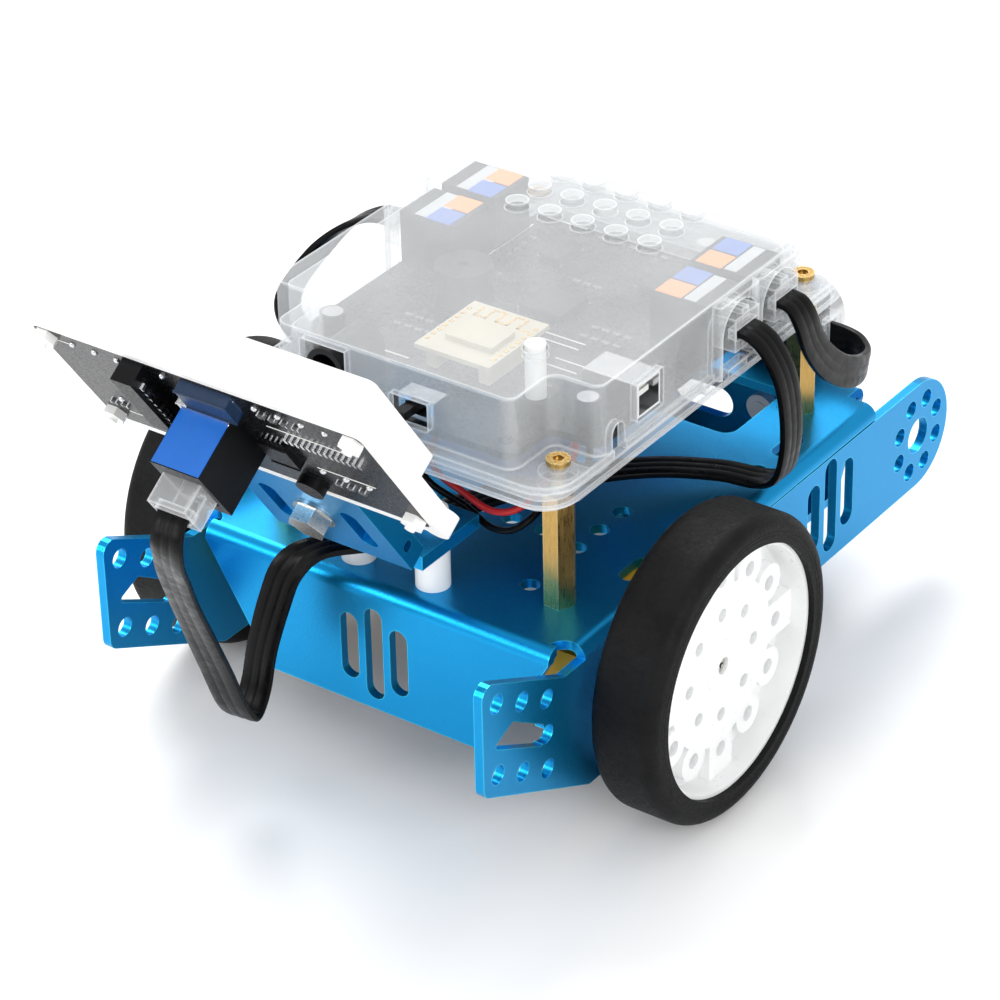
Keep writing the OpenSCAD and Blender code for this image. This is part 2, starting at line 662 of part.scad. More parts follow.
module wireless_module() color("tan") car() {
  block([-9, 9], [-4, 16.5], [board_z + 6, board_z + 7]);
  block([-7.5, -5], [-2, 14], [board_z + 1.6, board_z + 6]);
  block([5, 7.5], [-2, 14], [board_z + 1.6, board_z + 6]);
  block([-5, 6], [1, 9], [board_z + 7, board_z + 8]);
}

module usb_socket() color("silver") car() difference() {
  block([26, 38.6], [3, 11], [board_z + 1.6, board_z + 9]);
  block([28, 40], [3.6, 10.4], [board_z + 2.2, board_z + 8.4]);
}

module power_jack() color(black) car() difference() {
  union() {
    block([-21, -12.2], [-22.6, -9], [board_z + 1.6, board_z + 8]);
    rod_y([-16.6, -22.6, board_z + 7.6], 4.4, 13.6);
  }
  rod_y([-16.6, -23, board_z + 7.6], 3.2, 9);
}

module slide_switch_body() color("silver") car() difference() {
  block([-0.6, 7.8], [-20.4, -16], [board_z + 1.6, board_z + 6.6]);
  block([1, 6.2], [-21, -17.5], [board_z + 3, board_z + 5.4]);
}

module slide_switch_knob() color(black) car()
  block([1.2, 3.6], [-24.6, -17.7], [board_z + 3.3, board_z + 5.1]);

module reset_button() color(white) car() rod([20, -4, board_z + 3], 2.1, lid_top - board_z - 2);

module board_parts() color("dimgray") car() {
  // switch base under the push button
  difference() {
    block([17, 23], [-7, -1], [board_z + 1.6, board_z + 4.6]);
    rod([20, -4, board_z + 2.4], 2.2, 3);
  }
  // buzzer
  difference() {
    rod([-17, 24, board_z + 1.6], 6, 8);
    rod([-17, 24, board_z + 8.6], 1.2, 2);
  }
  // microcontroller, two driver chips and two capacitors
  block([-5, 5], [26, 36], [board_z + 1.6, board_z + 3]);
  for (x = [-14, 10]) block([x, x + 5], [46, 54], [board_z + 1.6, board_z + 3]);
  for (x = [-30, 31]) rod([x, -2.5, board_z + 1.6], 2.6, 5.4);
  // colour lamps
  for (x = [-12, 12]) block([x - 2.5, x + 2.5], [66, 71], [board_z + 1.6, board_z + 3.1]);
}

module battery_pack() color("#2a5db0") car() difference() {
  round_box([-17, 17], [-1, 55], [tray_z - 10.5, tray_z], 2.5);
  for (x = [-8, -4]) rod_y([x, -2, 65], 0.85, 4);
}

module battery_leads() color(red) car() {
  swept(red_route, 0.7, 0.7, 2);
  swept(black_route, 0.7, 0.7, 2);
}

// ---------- LED panel ----------

corner_x = panel_w / 2 - 4.4;
corner_y = [4.4, panel_h - 4.4];

module panel_board() color(black) car() panel_frame_of() translate([0, 0, -1.6]) linear_extrude(1.6) difference() {
  polygon(fillet(box_pts(-panel_w / 2 + 2, panel_w / 2 - 2, 2, panel_h - 2), 1.5));
  for (x = [-1, 1]) for (y = corner_y) translate([x * corner_x, y]) circle(r = 1.1);
  for (x = [-1, 1]) translate([12 * x, 4.6]) circle(r = 1.6);
}

// Rear flange with a raised rim round the board, and a smaller housing in front for the LEDs
module panel_frame() color(white) car() panel_frame_of() difference() {
  union() {
    translate([0, 0, -4]) linear_extrude(4) polygon(fillet(box_pts(-panel_w / 2, panel_w / 2, 0, panel_h), 2));
    for (x = [-1, 1]) for (y = [1.4, panel_h - 1.4])
      translate([x * (panel_w / 2 - 1.4), y, -4]) cylinder(r = 2.8, h = 4);
    translate([0, 0, -10.6]) linear_extrude(7)
      polygon(fillet(box_pts(4.5 - panel_w / 2, panel_w / 2 - 4.5, 8.2, panel_h - 1), 1.5));
  }
  translate([0, 0, -1.6]) linear_extrude(3)
    polygon(fillet(box_pts(-panel_w / 2 + 1.9, panel_w / 2 - 1.9, 1.9, panel_h - 1.9), 1.5));
  translate([0, 0, -11.6]) linear_extrude(12) polygon(box_pts(-33, 33, 9.6, panel_h - 2.4));
  translate([-16.4, -2, -9.6]) cube([32.8, 10.4, 8]);
  for (x = [-1, 1]) for (y = corner_y) translate([x * corner_x, y, -3.6]) cylinder(r = 1.1, h = 4);
}

module led_matrix() color("#26262a") car() panel_frame_of()
  for (x = [-32.6, 0.2]) translate([x, 9.9, -9.8]) cube([32.4, 26, 8.2]);

// Six-way socket standing on the back of the board, its mouth facing straight out
module panel_socket() color(black) car() panel_frame_of() difference() {
  block([-6.4, 4.8], [11.8, 26.3], [0, 13.5]);
  block([-5.2, 3.6], [14.7, 23.2], [2, 14]);
  block([-2.4, 0.8], [13.2, 15], [8, 14]);
}

module panel_header() color(black) car() panel_frame_of() {
  block([-16.4, -11.6], [17.5, 35.4], [0, 4.4]);
  for (k = [0:5]) block([-11.6, -10.6], [19.2 + 2.8 * k, 20 + 2.8 * k], [1.6, 2.4]);
}

module panel_nuts() color(white) car() panel_frame_of() for (x = [-1, 1]) for (y = corner_y) {
  translate([x * corner_x, y, 0]) cylinder(d = 4.2 / cos(30), h = 1.6, $fn = 6);
  translate([x * corner_x, y, -3.4]) cylinder(r = 1, h = 5.8);
}

module bracket_nuts() color(black) car() panel_frame_of() for (x = [-1, 1]) {
  translate([x * 12, 4.6, 0]) cylinder(r = 2.9, h = 2);
  translate([x * 12, 4.6, -8.6]) cylinder(r = 1.5, h = 9);
}

// Angle bracket: a level foot on two spacers and a leg that follows the panel's slope
module panel_bracket() color(blue) car() {
  difference() {
    panel_frame_of() translate([-16, -33, -6.6]) cube([32, 41, 5]);
    block([-20, 20], [-70, 0], [30, 57.5]);
    panel_frame_of() {
      for (x = [-1, 1]) translate([12 * x, 4.6, -8]) cylinder(r = 1.6, h = 8);
      translate([0, -18.6, -8]) cylinder(r = 2.05, h = 8);
      for (x = [-1, 1]) translate([x * 9.6, -20, -8]) linear_extrude(8) rotate(90) slot_2d(14, 4);
      translate([-17, -27.5, -4.1]) rotate([0, 90, 0]) cylinder(r = 1.25, h = 34);
    }
  }
  difference() {
    block([-16, 16], [-36.5, -18], [57.5, 60.5]);
    for (x = [-1, 1]) rod([9 * x, -24, 50], 2, 20);
    panel_frame_of() translate([-17, -40, -1.6]) cube([34, 60, 30]);
  }
}

module bracket_bolt() color("silver") car() panel_frame_of() translate([0, -18.6, 0]) {
  translate([0, 0, -1.6]) cylinder(r = 4.5, h = 0.6);
  translate([0, 0, -1]) cylinder(d = 7.2 / cos(30), h = 3.2, $fn = 6);
  translate([0, 0, -12]) cylinder(r = 2, h = 12);
  translate([0, 0, -9.8]) cylinder(d = 7 / cos(30), h = 3.2, $fn = 6);
}

module bracket_spacers() color(white) car() for (x = [-1, 1]) {
  difference() {
    rod([9 * x, -24, chassis_top], 3.5, 57.5 - chassis_top);
    rod([9 * x, -24, chassis_top - 1], 1.9, 20);
  }
  rod([9 * x, -24, chassis_top - 4], 1.85, 20);
  rod([9 * x, -24, 60.5], 3.4, 2.2);
  rod([9 * x, -24, chassis_top - sheet_t - 2.2], 3.4, 2.2);
}

// ---------- flat cables and their plugs ----------

// Clear plug lying in a socket: its nose points to -X and the cable leaves at +X
module plug() {
  difference() {
    union() {
      translate([-8, -4.3, -3.6]) cube([10.5, 8.6, 7.2]);
      translate([-4, -1.3, 3.6]) cube([6, 2.6, 0.9]);
    }
    translate([0.5, -3.9, -1.1]) cube([3, 7.8, 2.2]);
  }
}

module panel_plugs() color(clear) car() {
  translate([40, port_y[0], board_z + 7.4]) plug();
  panel_frame_of() translate([-0.8, 19.4, 17]) rotate([0, 0, 90]) rotate([0, -90, 0]) plug();
}

module range_plugs() color(clear) car() {
  translate([40, port_y[1], board_z + 7.4]) plug();
  translate([27.5, 90.3, 53.3]) rotate([90, 0, 0]) plug();
}

module line_plugs() color(clear) car() {
  translate([-40, port_y[0], board_z + 7.4]) rotate([0, 0, 180]) plug();
  translate([-15.5, 69.5, shelf_z + 13.6]) rotate([0, -90, 90]) plug();
}

module panel_cable() color(black) car() swept(panel_route, cable_w / 2, cable_t / 2, 2);
module range_cable() color(black) car() swept(range_route, cable_w / 2, cable_t / 2, 2);
module line_cable() color(black) car() swept(line_route, cable_w / 2, cable_t / 2, 2);

chassis();
gearbox_left();
gearbox_right();
motor_left();
motor_right();
motor_caps();
motor_terminals();
motor_screws();
motor_nuts();
shaft_left();
shaft_right();
wheel_left();
wheel_right();
tyre_left();
tyre_right();
hub_screw_left();
hub_screw_right();
caster_housing();
caster_ball();
caster_screws();
line_board();
line_sensors();
line_socket();
line_spacers();
range_board();
range_eyes();
range_socket();
range_spacers();
standoffs();
case_screws();
case_tray();
case_lid();
main_board();
board_sockets();
wireless_module();
usb_socket();
power_jack();
slide_switch_body();
slide_switch_knob();
reset_button();
board_parts();
battery_pack();
battery_leads();
panel_board();
panel_frame();
led_matrix();
panel_socket();
panel_header();
panel_nuts();
bracket_nuts();
panel_bracket();
bracket_bolt();
bracket_spacers();
panel_plugs();
range_plugs();
line_plugs();
panel_cable();
range_cable();
line_cable();
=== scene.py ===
import json
import math

import bmesh
import bpy
from mathutils import Matrix, Vector


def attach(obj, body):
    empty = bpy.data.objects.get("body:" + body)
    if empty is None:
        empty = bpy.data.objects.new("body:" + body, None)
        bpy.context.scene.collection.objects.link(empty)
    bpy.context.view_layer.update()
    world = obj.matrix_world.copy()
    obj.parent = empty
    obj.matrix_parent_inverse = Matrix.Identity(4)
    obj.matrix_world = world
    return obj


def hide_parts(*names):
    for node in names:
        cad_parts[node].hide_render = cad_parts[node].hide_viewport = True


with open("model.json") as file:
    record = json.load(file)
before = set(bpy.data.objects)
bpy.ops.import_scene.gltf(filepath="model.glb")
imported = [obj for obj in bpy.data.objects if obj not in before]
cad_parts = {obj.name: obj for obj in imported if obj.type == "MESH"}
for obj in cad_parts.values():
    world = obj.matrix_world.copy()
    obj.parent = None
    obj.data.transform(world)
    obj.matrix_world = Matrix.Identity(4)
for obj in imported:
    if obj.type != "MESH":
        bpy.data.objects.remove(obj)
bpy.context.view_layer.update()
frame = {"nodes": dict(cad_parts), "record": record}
MM = 0.001
AXLE_Y = -0.01318           # the wheel axle in the row frame, in metres
AXLE_Z = 32                 # from here on, millimetres from the axle's centre line
SIDES = (("left", -1), ("right", 1))
PORT_Y = (36, 50.5)         # middles of the cable ports along the case
PORT_X = 30                 # middle of the sockets behind them
TOP = 78.6                  # upper face of the board
SOCKET_TOP = 90.2
MODULE_TOP = 84
PANEL_FOOT = (-60, 85.5)    # y and z of the LED panel's lower back edge
PANEL_TURN = math.radians(125)
LED_FACE = -9.8             # front of the LED block, measured through the panel
EYE_X, EYE_Z = 13.5, 46.5   # the distance sensor's two eyes
LENS_Z = 9.4                # face of the line sensor's lenses
MESH_Y = 108.4              # outer face of the eyes' backing


def pt(x, y, z):
    """A point given in millimetres from the axle's centre line, in the row frame."""
    return Vector((x * MM, y * MM + AXLE_Y, z * MM))


# ---------- camera ----------

CAMERA_AT = (396.2, -536.8, 460.3)
CAMERA_TURN = (35.87, 31.66, -1.25)
CAMERA_LENS = 141.8


def look(az, el, roll):
    """Camera axes for an azimuth, a fall below the level and a roll, in degrees."""
    a, e, t = (math.radians(v) for v in (az, el, roll))
    right = Vector((math.cos(a), math.sin(a), 0))
    ahead = Vector((-math.sin(a) * math.cos(e), math.cos(a) * math.cos(e), -math.sin(e)))
    up = right.cross(ahead)
    r = math.cos(t) * right + math.sin(t) * up
    u = -math.sin(t) * right + math.cos(t) * up
    return Matrix((r, u, -ahead)).transposed().to_4x4()


cam_data = bpy.data.cameras.new("camera")
cam = bpy.data.objects.new("camera", cam_data)
bpy.context.scene.collection.objects.link(cam)
bpy.context.scene.camera = cam
cam_data.lens = CAMERA_LENS
cam_data.sensor_width = 36
cam_data.clip_start, cam_data.clip_end = 0.02, 20
cam.matrix_world = Matrix.Translation(pt(*CAMERA_AT)) @ look(*CAMERA_TURN)


# ---------- materials ----------

def rgb(text):
    """Linear colour of a hex colour."""
    v = [int(text[i:i + 2], 16) / 255 for i in (1, 3, 5)]
    return [c / 12.92 if c <= 0.04045 else ((c + 0.055) / 1.055) ** 2.4 for c in v]


class Paint:
    """Builds one node material piece by piece."""

    def __init__(self, name):
        self.mat = bpy.data.materials.new(name)
        self.mat.use_nodes = True
        self.tree = self.mat.node_tree
        self.tree.nodes.clear()
        self.out = self.add("ShaderNodeOutputMaterial")
        self.body = self.add("ShaderNodeBsdfPrincipled")
        self.link(self.body, "BSDF", self.out, "Surface")
        self.where = self.add("ShaderNodeTexCoord")

    def add(self, kind, **values):
        n = self.tree.nodes.new(kind)
        for k, v in values.items():
            setattr(n, k, v)
        return n

    def link(self, a, ao, b, bi):
        self.tree.links.new(a.outputs[ao], b.inputs[bi])

    def placed(self, stretch=(1, 1, 1)):
        m = self.add("ShaderNodeMapping")
        m.inputs["Scale"].default_value = stretch
        self.link(self.where, "Object", m, "Vector")
        return m

    def noise(self, scale, detail=4, stretch=(1, 1, 1), rough=0.55):
        n = self.add("ShaderNodeTexNoise")
        n.inputs["Scale"].default_value = scale
        n.inputs["Detail"].default_value = detail
        n.inputs["Roughness"].default_value = rough
        self.link(self.placed(stretch), "Vector", n, "Vector")
        return n

    def ramp(self, source, out, stops):
        r = self.add("ShaderNodeValToRGB")
        el = r.color_ramp.elements
        for i, (at, col) in enumerate(stops):
            e = el[i] if i < 2 else el.new(at)
            e.position = at
            e.color = (*col, 1) if len(col) == 3 else col
        self.link(source, out, r, "Fac")
        return r

    def span(self, source, out, a, b, lo=0.3, hi=0.7):
        r = self.add("ShaderNodeMapRange")
        r.inputs["From Min"].default_value = lo
        r.inputs["From Max"].default_value = hi
        r.inputs["To Min"].default_value = a
        r.inputs["To Max"].default_value = b
        self.link(source, out, r, "Value")
        return r

    def mix(self, fac, fac_out, a, b):
        """Blends from a to b; each is a colour or a node that gives one."""
        m = self.add("ShaderNodeMix", data_type="RGBA")
        self.tree.links.new(fac.outputs[fac_out], m.inputs[0])
        for i, v in ((6, a), (7, b)):
            if isinstance(v, (list, tuple)):
                m.inputs[i].default_value = (*v, 1)
            else:
                self.tree.links.new(v.outputs["Color" if "Color" in v.outputs else 2], m.inputs[i])
        return m

    def bump(self, source, out, strength, height):
        b = self.add("ShaderNodeBump")
        b.inputs["Strength"].default_value = strength
        b.inputs["Distance"].default_value = height
        self.link(source, out, b, "Height")
        self.link(b, "Normal", self.body, "Normal")

    def edges(self, radius=0.0005, low=0.02, high=0.25):
        """1 on sharp edges, 0 on flats."""
        bev = self.add("ShaderNodeBevel", samples=6)
        bev.inputs["Radius"].default_value = radius
        geo = self.add("ShaderNodeNewGeometry")
        dot = self.add("ShaderNodeVectorMath", operation="DOT_PRODUCT")
        self.link(bev, "Normal", dot, 0)
        self.link(geo, "Normal", dot, 1)
        r = self.add("ShaderNodeMapRange")
        r.inputs["From Min"].default_value = 1 - low
        r.inputs["From Max"].default_value = 1 - high
        self.link(dot, "Value", r, "Value")
        return r


def surface(name, base, rough=0.5, metal=0.0, vary=0.08, scale=60, grain=900, stretch=(1, 1, 1),
            bump=0.15, depth=0.00005, spread=0.08, edge_highlight=None, **sockets):
    """A material with uneven colour, uneven gloss and a fine grain, and optionally a painted
    highlight: a lighter colour blended onto its sharp edges.
    """
    p = Paint(name)
    b = p.body.inputs
    broad = p.noise(scale, 5, stretch)
    fine = p.noise(grain, 3, stretch)
    dark = [c * (1 - vary) for c in base]
    light = [min(1, c * (1 + vary) + 0.01 * vary) for c in base]
    tone = p.ramp(broad, "Fac", [(0.3, dark), (0.7, light)])
    # painted edge highlight: sharp edges are blended towards a lighter colour
    if edge_highlight:
        last = p.mix(p.edges(), "Result", tone, edge_highlight)
        p.tree.links.new(last.outputs[2], b["Base Color"])
    else:
        p.link(tone, "Color", p.body, "Base Color")
    gloss = p.span(fine, "Fac", max(0.02, rough - spread), min(1, rough + spread))
    p.link(gloss, "Result", p.body, "Roughness")
    p.bump(fine, "Fac", bump, depth)
    b["Metallic"].default_value = metal
    for k, v in sockets.items():
        b[k.replace("_", " ")].default_value = v
    p.mat.diffuse_color = (*base, 1)
    return p


M = {}
# the lighter cyan on the sharp edges and folds is a painted highlight
M["blue_anodised"] = surface(
    "blue_anodised", rgb("#0a8fcb"), 0.34, 0.85, vary=0.05, scale=25, grain=3500, bump=0.25,
    depth=0.00002, edge_highlight=rgb("#3fd0f5")).mat
# the slightly lighter grey on the sharp edges is a painted highlight
M["tyre"] = surface(
    "tyre", rgb("#0b0b0c"), 0.6, vary=0.25, scale=180, grain=1400, bump=0.5, depth=0.00008,
    edge_highlight=rgb("#131313"), Specular_IOR_Level=0.14).mat
M["milky_plastic"] = surface(
    "milky_plastic", rgb("#f1f2f2"), 0.34, vary=0.03, scale=90, grain=700, bump=0.05,
    Subsurface_Weight=0.35, Subsurface_Radius=(0.004, 0.004, 0.004), Subsurface_Scale=1.0).mat
M["white_plastic"] = surface(
    "white_plastic", rgb("#eeeeec"), 0.38, vary=0.03, scale=70, grain=900, bump=0.08,
    Subsurface_Weight=0.1, Subsurface_Radius=(0.002, 0.002, 0.002)).mat
# the slightly lighter grey on the sharp edges is a painted highlight
M["black_plastic"] = surface(
    "black_plastic", rgb("#0b0b0d"), 0.38, vary=0.12, scale=90, grain=1600, bump=0.2,
    edge_highlight=rgb("#16161a"), Specular_IOR_Level=0.16).mat
M["yellow_plastic"] = surface(
    "yellow_plastic", rgb("#e8b21c"), 0.45, vary=0.05, scale=60, grain=1300, bump=0.15).mat
# the brighter colour on the sharp edges is a painted highlight
M["steel"] = surface(
    "steel", rgb("#b4b2ac"), 0.3, 1.0, vary=0.08, scale=120, grain=2400, stretch=(1, 1, 5),
    bump=0.2, depth=0.00002, edge_highlight=rgb("#e2e0da")).mat
M["bright_steel"] = surface(
    "bright_steel", rgb("#cfd0d2"), 0.16, 1.0, vary=0.05, scale=90, grain=1500, bump=0.1,
    depth=0.00002, spread=0.05).mat
# the brighter colour on the sharp edges is a painted highlight
M["brass"] = surface(
    "brass", rgb("#b39256"), 0.3, 1.0, vary=0.12, scale=110, grain=2200, stretch=(1, 1, 0.15),
    bump=0.25, depth=0.00003, edge_highlight=rgb("#e3cc92")).mat
M["battery_wrap"] = surface(
    "battery_wrap", rgb("#1d4f9c"), 0.3, vary=0.06, scale=60, grain=300, bump=0.3, depth=0.0001,
    Coat_Weight=0.4).mat
M["black_cable"] = surface(
    "black_cable", rgb("#070708"), 0.34, vary=0.15, scale=60, grain=500, bump=0.1, spread=0.1,
    Specular_IOR_Level=0.12).mat
M["red_wire"] = surface(
    "red_wire", rgb("#b81512"), 0.38, vary=0.08, scale=100, grain=700, bump=0.1).mat
# inks and small painted parts: colour, roughness, unevenness
for ink, (tint, rough, vary) in {
    "orange": ("#f29a2e", 0.5, 0.04),
    "label_blue": ("#0b66c4", 0.42, 0.04),
    "deep_blue": ("#06294a", 0.4, 0.06),
    "paper": ("#e6e6e2", 0.6, 0.03),
    "grey_print": ("#c3c6c8", 0.6, 0.05),
}.items():
    M[ink] = surface(ink, rgb(tint), rough, vary=vary, scale=200, grain=1500, bump=0.1).mat
M["copper"] = surface(
    "copper", rgb("#c9a24a"), 0.28, 1.0, vary=0.1, scale=300, grain=2000, bump=0.1).mat
M["rubbery_grey"] = surface(
    "rubbery_grey", rgb("#5a5a5c"), 0.5, vary=0.1, scale=300, grain=2000, bump=0.2).mat
M["lamp"] = surface(
    "lamp", rgb("#f5f2e6"), 0.2, vary=0.04, scale=300, grain=1500, bump=0.05, Coat_Weight=0.5).mat


def clear(name, base, alpha, rough):
    """Clear moulding, slightly frosted: its haze varies and its edges catch more light."""
    p = surface(name, base, rough, vary=0.02, scale=40, grain=700, bump=0.06, spread=0.04,
                Coat_Weight=0.6, Coat_Roughness=0.06)
    haze = p.noise(35, 4)
    body = p.span(haze, "Fac", alpha * 0.85, alpha * 1.15)
    edge = p.edges(0.0012, 0.01, 0.3)
    sum_ = p.add("ShaderNodeMath", operation="MULTIPLY_ADD", use_clamp=True)
    p.link(edge, "Result", sum_, 0)
    sum_.inputs[1].default_value = 0.42
    p.link(body, "Result", sum_, 2)
    p.link(sum_, "Value", p.body, "Alpha")
    p.body.inputs["IOR"].default_value = 1.5
    p.mat.surface_render_method = "BLENDED"
    return p.mat


M["clear_plastic"] = clear("clear_plastic", rgb("#eceff1"), 0.25, 0.16)


def board(name, mask, track):
    """Solder mask over a pattern of tracks, with a pad here and there."""
    p = surface(name, mask, 0.28, vary=0.06, scale=60, grain=1800, bump=0.05,
                Specular_IOR_Level=0.2)
    brick = p.add("ShaderNodeTexBrick", offset=0.5, squash=1.6, squash_frequency=3)
    brick.inputs["Scale"].default_value = 190
    brick.inputs["Mortar Size"].default_value = 0.035
    brick.inputs["Brick Width"].default_value = 0.9
    brick.inputs["Row Height"].default_value = 0.22
    brick.inputs["Color1"].default_value = (0, 0, 0, 1)
    brick.inputs["Color2"].default_value = (0, 0, 0, 1)
    brick.inputs["Mortar"].default_value = (1, 1, 1, 1)
    p.link(p.placed(), "Vector", brick, "Vector")
    gate = p.noise(70, 2)
    on = p.span(gate, "Fac", 0, 1, 0.48, 0.52)
    both = p.add("ShaderNodeMath", operation="MULTIPLY")
    p.link(brick, "Fac", both, 0)
    p.link(on, "Result", both, 1)
    tone = p.body.inputs["Base Color"].links[0].from_node
    m = p.mix(both, "Value", tone, track)
    p.tree.links.new(m.outputs[2], p.body.inputs["Base Color"])
    return p.mat


M["black_board"] = board("black_board", rgb("#0a0b0d"), rgb("#1c1d20"))
M["blue_board"] = board("blue_board", rgb("#0b4f9e"), rgb("#2f7fd0"))
M["beige_board"] = surface(
    "beige_board", rgb("#cdc3a8"), 0.36, vary=0.05, scale=60, grain=1500, bump=0.08,
    Coat_Weight=0.2).mat
M["led_face"] = surface(
    "led_face", rgb("#2a2b30"), 0.35, vary=0.08, scale=120, grain=1500, bump=0.15,
    Coat_Weight=0.3).mat

slot_of = {s["node"]: s["material_slot"] for s in frame["record"]["subparts"]}
for node, obj in frame["nodes"].items():
    obj.data.materials.clear()
    obj.data.materials.append(M[slot_of[node]])


# ---------- mesh pieces ----------

def piece(name, bm, mat, body="car", slot=None, smooth=False, replaces=()):
    me = bpy.data.meshes.new(name)
    bmesh.ops.recalc_face_normals(bm, faces=bm.faces)
    bm.to_mesh(me)
    bm.free()
    ob = bpy.data.objects.new(name, me)
    bpy.context.scene.collection.objects.link(ob)
    me.materials.append(M[mat])
    if smooth:
        for f in me.polygons:
            f.use_smooth = True
        me.set_sharp_from_angle(angle=math.radians(40))
    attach(ob, body)
    if replaces:
        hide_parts(*replaces)
    return ob


def panel_pt(x, y, z):
    """A point of the LED panel: x across, y up its slope, z out of its back."""
    c, s = math.cos(PANEL_TURN), math.sin(PANEL_TURN)
    return pt(x, PANEL_FOOT[0] + y * c - z * s, PANEL_FOOT[1] + y * s + z * c)


def add_box(bm, lo, hi, to=pt, bevel=0.0):
    """A box between two corners; `to` says which frame they are given in."""
    made = bmesh.ops.create_cube(bm, size=1)["verts"]
    for v in made:
        c = [(lo[i] + hi[i]) / 2 + v.co[i] * (hi[i] - lo[i]) for i in range(3)]
        v.co = to(*c)
    if bevel:
        edges = list({e for v in made for e in v.link_edges})
        bmesh.ops.bevel(bm, geom=edges, offset=bevel * MM, segments=2, affect="EDGES", profile=0.7)


def add_rod(bm, at, r, l, axis="z", n=24):
    """A rod of radius r and length l that starts at a point."""
    rings = []
    for h in (0, l):
        ring = []
        for k in range(n):
            a = 2 * math.pi * k / n
            u, v = r * math.cos(a), r * math.sin(a)
            d = {"z": (u, v, h), "y": (u, h, v), "x": (h, u, v)}[axis]
            ring.append(bm.verts.new(pt(*(at[i] + d[i] for i in range(3)))))
        rings.append(ring)
    for k in range(n):
        bm.faces.new((rings[0][k], rings[0][(k + 1) % n], rings[1][(k + 1) % n], rings[1][k]))
    bm.faces.new(rings[0][::-1])
    bm.faces.new(rings[1])


def add_dome(bm, at, r, to=pt, n=12, squash=0.6):
    """A flattened half ball standing on a point."""
    rings = []
    for j in range(4):
        b = math.pi / 2 * j / 4
        rings.append([
            bm.verts.new(to(at[0] + r * math.cos(b) * math.cos(2 * math.pi * k / n),
                            at[1] + r * math.cos(b) * math.sin(2 * math.pi * k / n),
                            at[2] + r * squash * math.sin(b)))
            for k in range(n)
        ])
    tip = bm.verts.new(to(at[0], at[1], at[2] + r * squash))
    for a, b in zip(rings, rings[1:]):
        for k in range(n):
            bm.faces.new((a[k], a[(k + 1) % n], b[(k + 1) % n], b[k]))
    for k in range(n):
        bm.faces.new((rings[-1][k], rings[-1][(k + 1) % n], tip))
    bm.faces.new(rings[0][::-1])


def boxes(name, items, mat, to=pt, bevel=0.0, **kw):
    bm = bmesh.new()
    for lo, hi in items:
        add_box(bm, lo, hi, to, bevel)
    return piece(name, bm, mat, **kw)


# ---------- cords ----------

def curve(points, n):
    """Points along a smooth curve through a route's points."""
    out = []
    last = len(points) - 1
    for i in range(last):
        a, b, c, d = (points[max(i - 1, 0)], points[i], points[i + 1], points[min(i + 2, last)])
        for k in range(n):
            t = k / n
            out.append([
                0.5 * (2 * q + (r - p) * t + (2 * p - 5 * q + 4 * r - s) * t * t
                       + (3 * q - p - 3 * r + s) * t * t * t)
                for p, q, r, s in zip(a, b, c, d)
            ])
    out.append(list(points[last]))
    return out


WIRE_R = 0.7


def outline(kind):
    """Cross section of a cord: across and through, in millimetres."""
    if kind == "wire":
        turns = [math.pi * k / 6 for k in range(12)]
        return [(WIRE_R * math.cos(a), WIRE_R * math.sin(a)) for a in turns]
    top = []
    for i in range(25):
        x = -2.9 + 5.8 * i / 24
        top.append((x, 0.8 - 0.09 * (0.5 + 0.5 * math.cos(2 * math.pi * 3 * (x + 2.9) / 5.8)) ** 3))
    side = [(3.3, 0.6), (3.5, 0.25), (3.5, -0.25), (3.3, -0.6)]
    return top + side + [(x, -y) for x, y in reversed(top)] + [(-x, -y) for x, y in side]


def cord(name, route, kind, mat, replaces, n=6):
    pts = curve(route, n)
    pos = [pt(*q[:3]) for q in pts]
    shape = outline(kind)
    bm = bmesh.new()
    rings = []
    for i, q in enumerate(pts):
        t = (pos[min(i + 1, len(pos) - 1)] - pos[max(i - 1, 0)]).normalized()
        f = Vector(q[3:6]) if len(q) > 3 else Vector((0.31, 0.2, 0.93))
        w = (f - f.dot(t) * t).normalized()
        h = t.cross(w)
        rings.append([bm.verts.new(pos[i] + w * a * MM + h * b * MM) for a, b in shape])
    m = len(shape)
    for a, b in zip(rings, rings[1:]):
        for k in range(m):
            bm.faces.new((a[k], a[(k + 1) % m], b[(k + 1) % m], b[k]))
    bm.faces.new(rings[0][::-1])
    bm.faces.new(rings[-1])
    ob = piece(
        name, bm, mat, slot=slot_of[replaces[0]] if replaces else None, smooth=True,
        replaces=replaces)
    return ob


